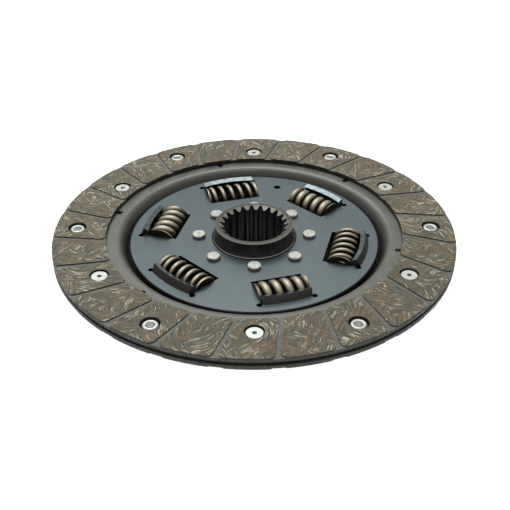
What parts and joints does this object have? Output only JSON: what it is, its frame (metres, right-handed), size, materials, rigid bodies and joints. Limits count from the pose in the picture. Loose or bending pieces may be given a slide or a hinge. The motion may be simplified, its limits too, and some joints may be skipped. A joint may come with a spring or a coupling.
{
  "type": "clutch disc",
  "caption": "Dry clutch disc: riveted ring facings on a cushioned carrier, damper springs in cover-plate windows, and a splined hub.",
  "frame": {"origin": "on the disc's axis, at the middle of the cushion paddles between the two facings", "axes": "+Z along the axis, out of the side where the hub stands least proud and the springs show; +X through a facing rivet; -Z is the side with the long hub boss that it rests on"},
  "size_m": [0.2, 0.2, 0.025],
  "materials": {
    "facing": "moulded yarn and resin, ground flat",
    "carrier_steel": "satin grey",
    "plate_steel": "blue-grey nitrided",
    "hub_steel": "black phosphated",
    "rivet_steel": "bright zinc",
    "spring_steel": "drawn, faint bronze",
    "friction_ring": "matt",
    "bright_steel": "satin"
  },
  "bodies": {
    "hub_and_plates": {"splined_hub": "hub_steel", "front_cover_plate": "plate_steel", "rear_cover_plate": "plate_steel", "hub_rivets": "rivet_steel", "front_friction_washer": "friction_ring", "rear_friction_washer": "friction_ring", "backing_washer": "bright_steel", "conical_spring_washer": "bright_steel"},
    "friction_disc": {"carrier_disc": "carrier_steel", "front_facing": "facing", "rear_facing": "facing", "front_facing_rivets": "rivet_steel", "rear_facing_rivets": "rivet_steel"},
    "damper_springs": {"heavy_spring_1": "spring_steel", "heavy_spring_2": "spring_steel", "heavy_spring_3": "spring_steel", "light_spring_1": "spring_steel", "light_spring_2": "spring_steel", "light_spring_3": "spring_steel"}
  },
  "joints": [
    {"name": "damper_twist", "type": "hinge", "parent": "hub_and_plates", "child": "friction_disc", "pos_m": [0, 0, 0], "axis": [0, 0, 1], "range_deg": [-4.5, 4.5], "stiffness_Nm_per_rad": 1900, "deforming": ["heavy_spring_1", "heavy_spring_2", "heavy_spring_3", "light_spring_1", "light_spring_2", "light_spring_3"]},
    {"name": "spring_follow", "type": "hinge", "parent": "hub_and_plates", "child": "damper_springs", "pos_m": [0, 0, 0], "axis": [0, 0, 1], "range_deg": [-2.25, 2.25]}
  ],
  "couplings": [
    {"joint": "spring_follow", "follows": "damper_twist", "ratio": 0.5}
  ]
}
